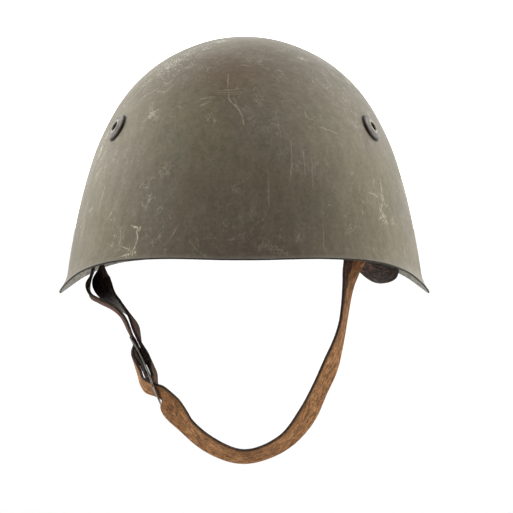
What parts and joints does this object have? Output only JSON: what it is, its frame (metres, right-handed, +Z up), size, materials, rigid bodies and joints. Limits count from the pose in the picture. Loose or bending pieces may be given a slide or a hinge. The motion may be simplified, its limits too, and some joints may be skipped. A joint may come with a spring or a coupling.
{
  "type": "steel combat helmet",
  "caption": "Worn pressed-steel combat helmet with hollow vent rivets, an inner steel hoop with wire bails and a leather chin strap through a slotted slider.",
  "frame": {"origin": "head seat: inside the crown, level with the vent rivets, on the line where the shell is widest, where the hoop and lining rest on a head", "axes": "+Z up through the crown, -Y towards the brow, +X towards the wearer's left"},
  "size_m": [0.2468, 0.28, 0.2669],
  "materials": {
    "helmet_paint": "worn matt paint",
    "rivet_paint": "worn matt paint",
    "dull_steel": "dull",
    "leather": "rough flesh side outwards"
  },
  "bodies": {
    "root": {"shell": "helmet_paint", "vent_rivet_left": "rivet_paint", "vent_rivet_right": "rivet_paint", "vent_rivet_rear": "rivet_paint", "liner_band": "dull_steel", "bail_left": "dull_steel", "bail_right": "dull_steel", "strap_slider": "dull_steel", "chin_strap": "leather"}
  },
  "joints": []
}
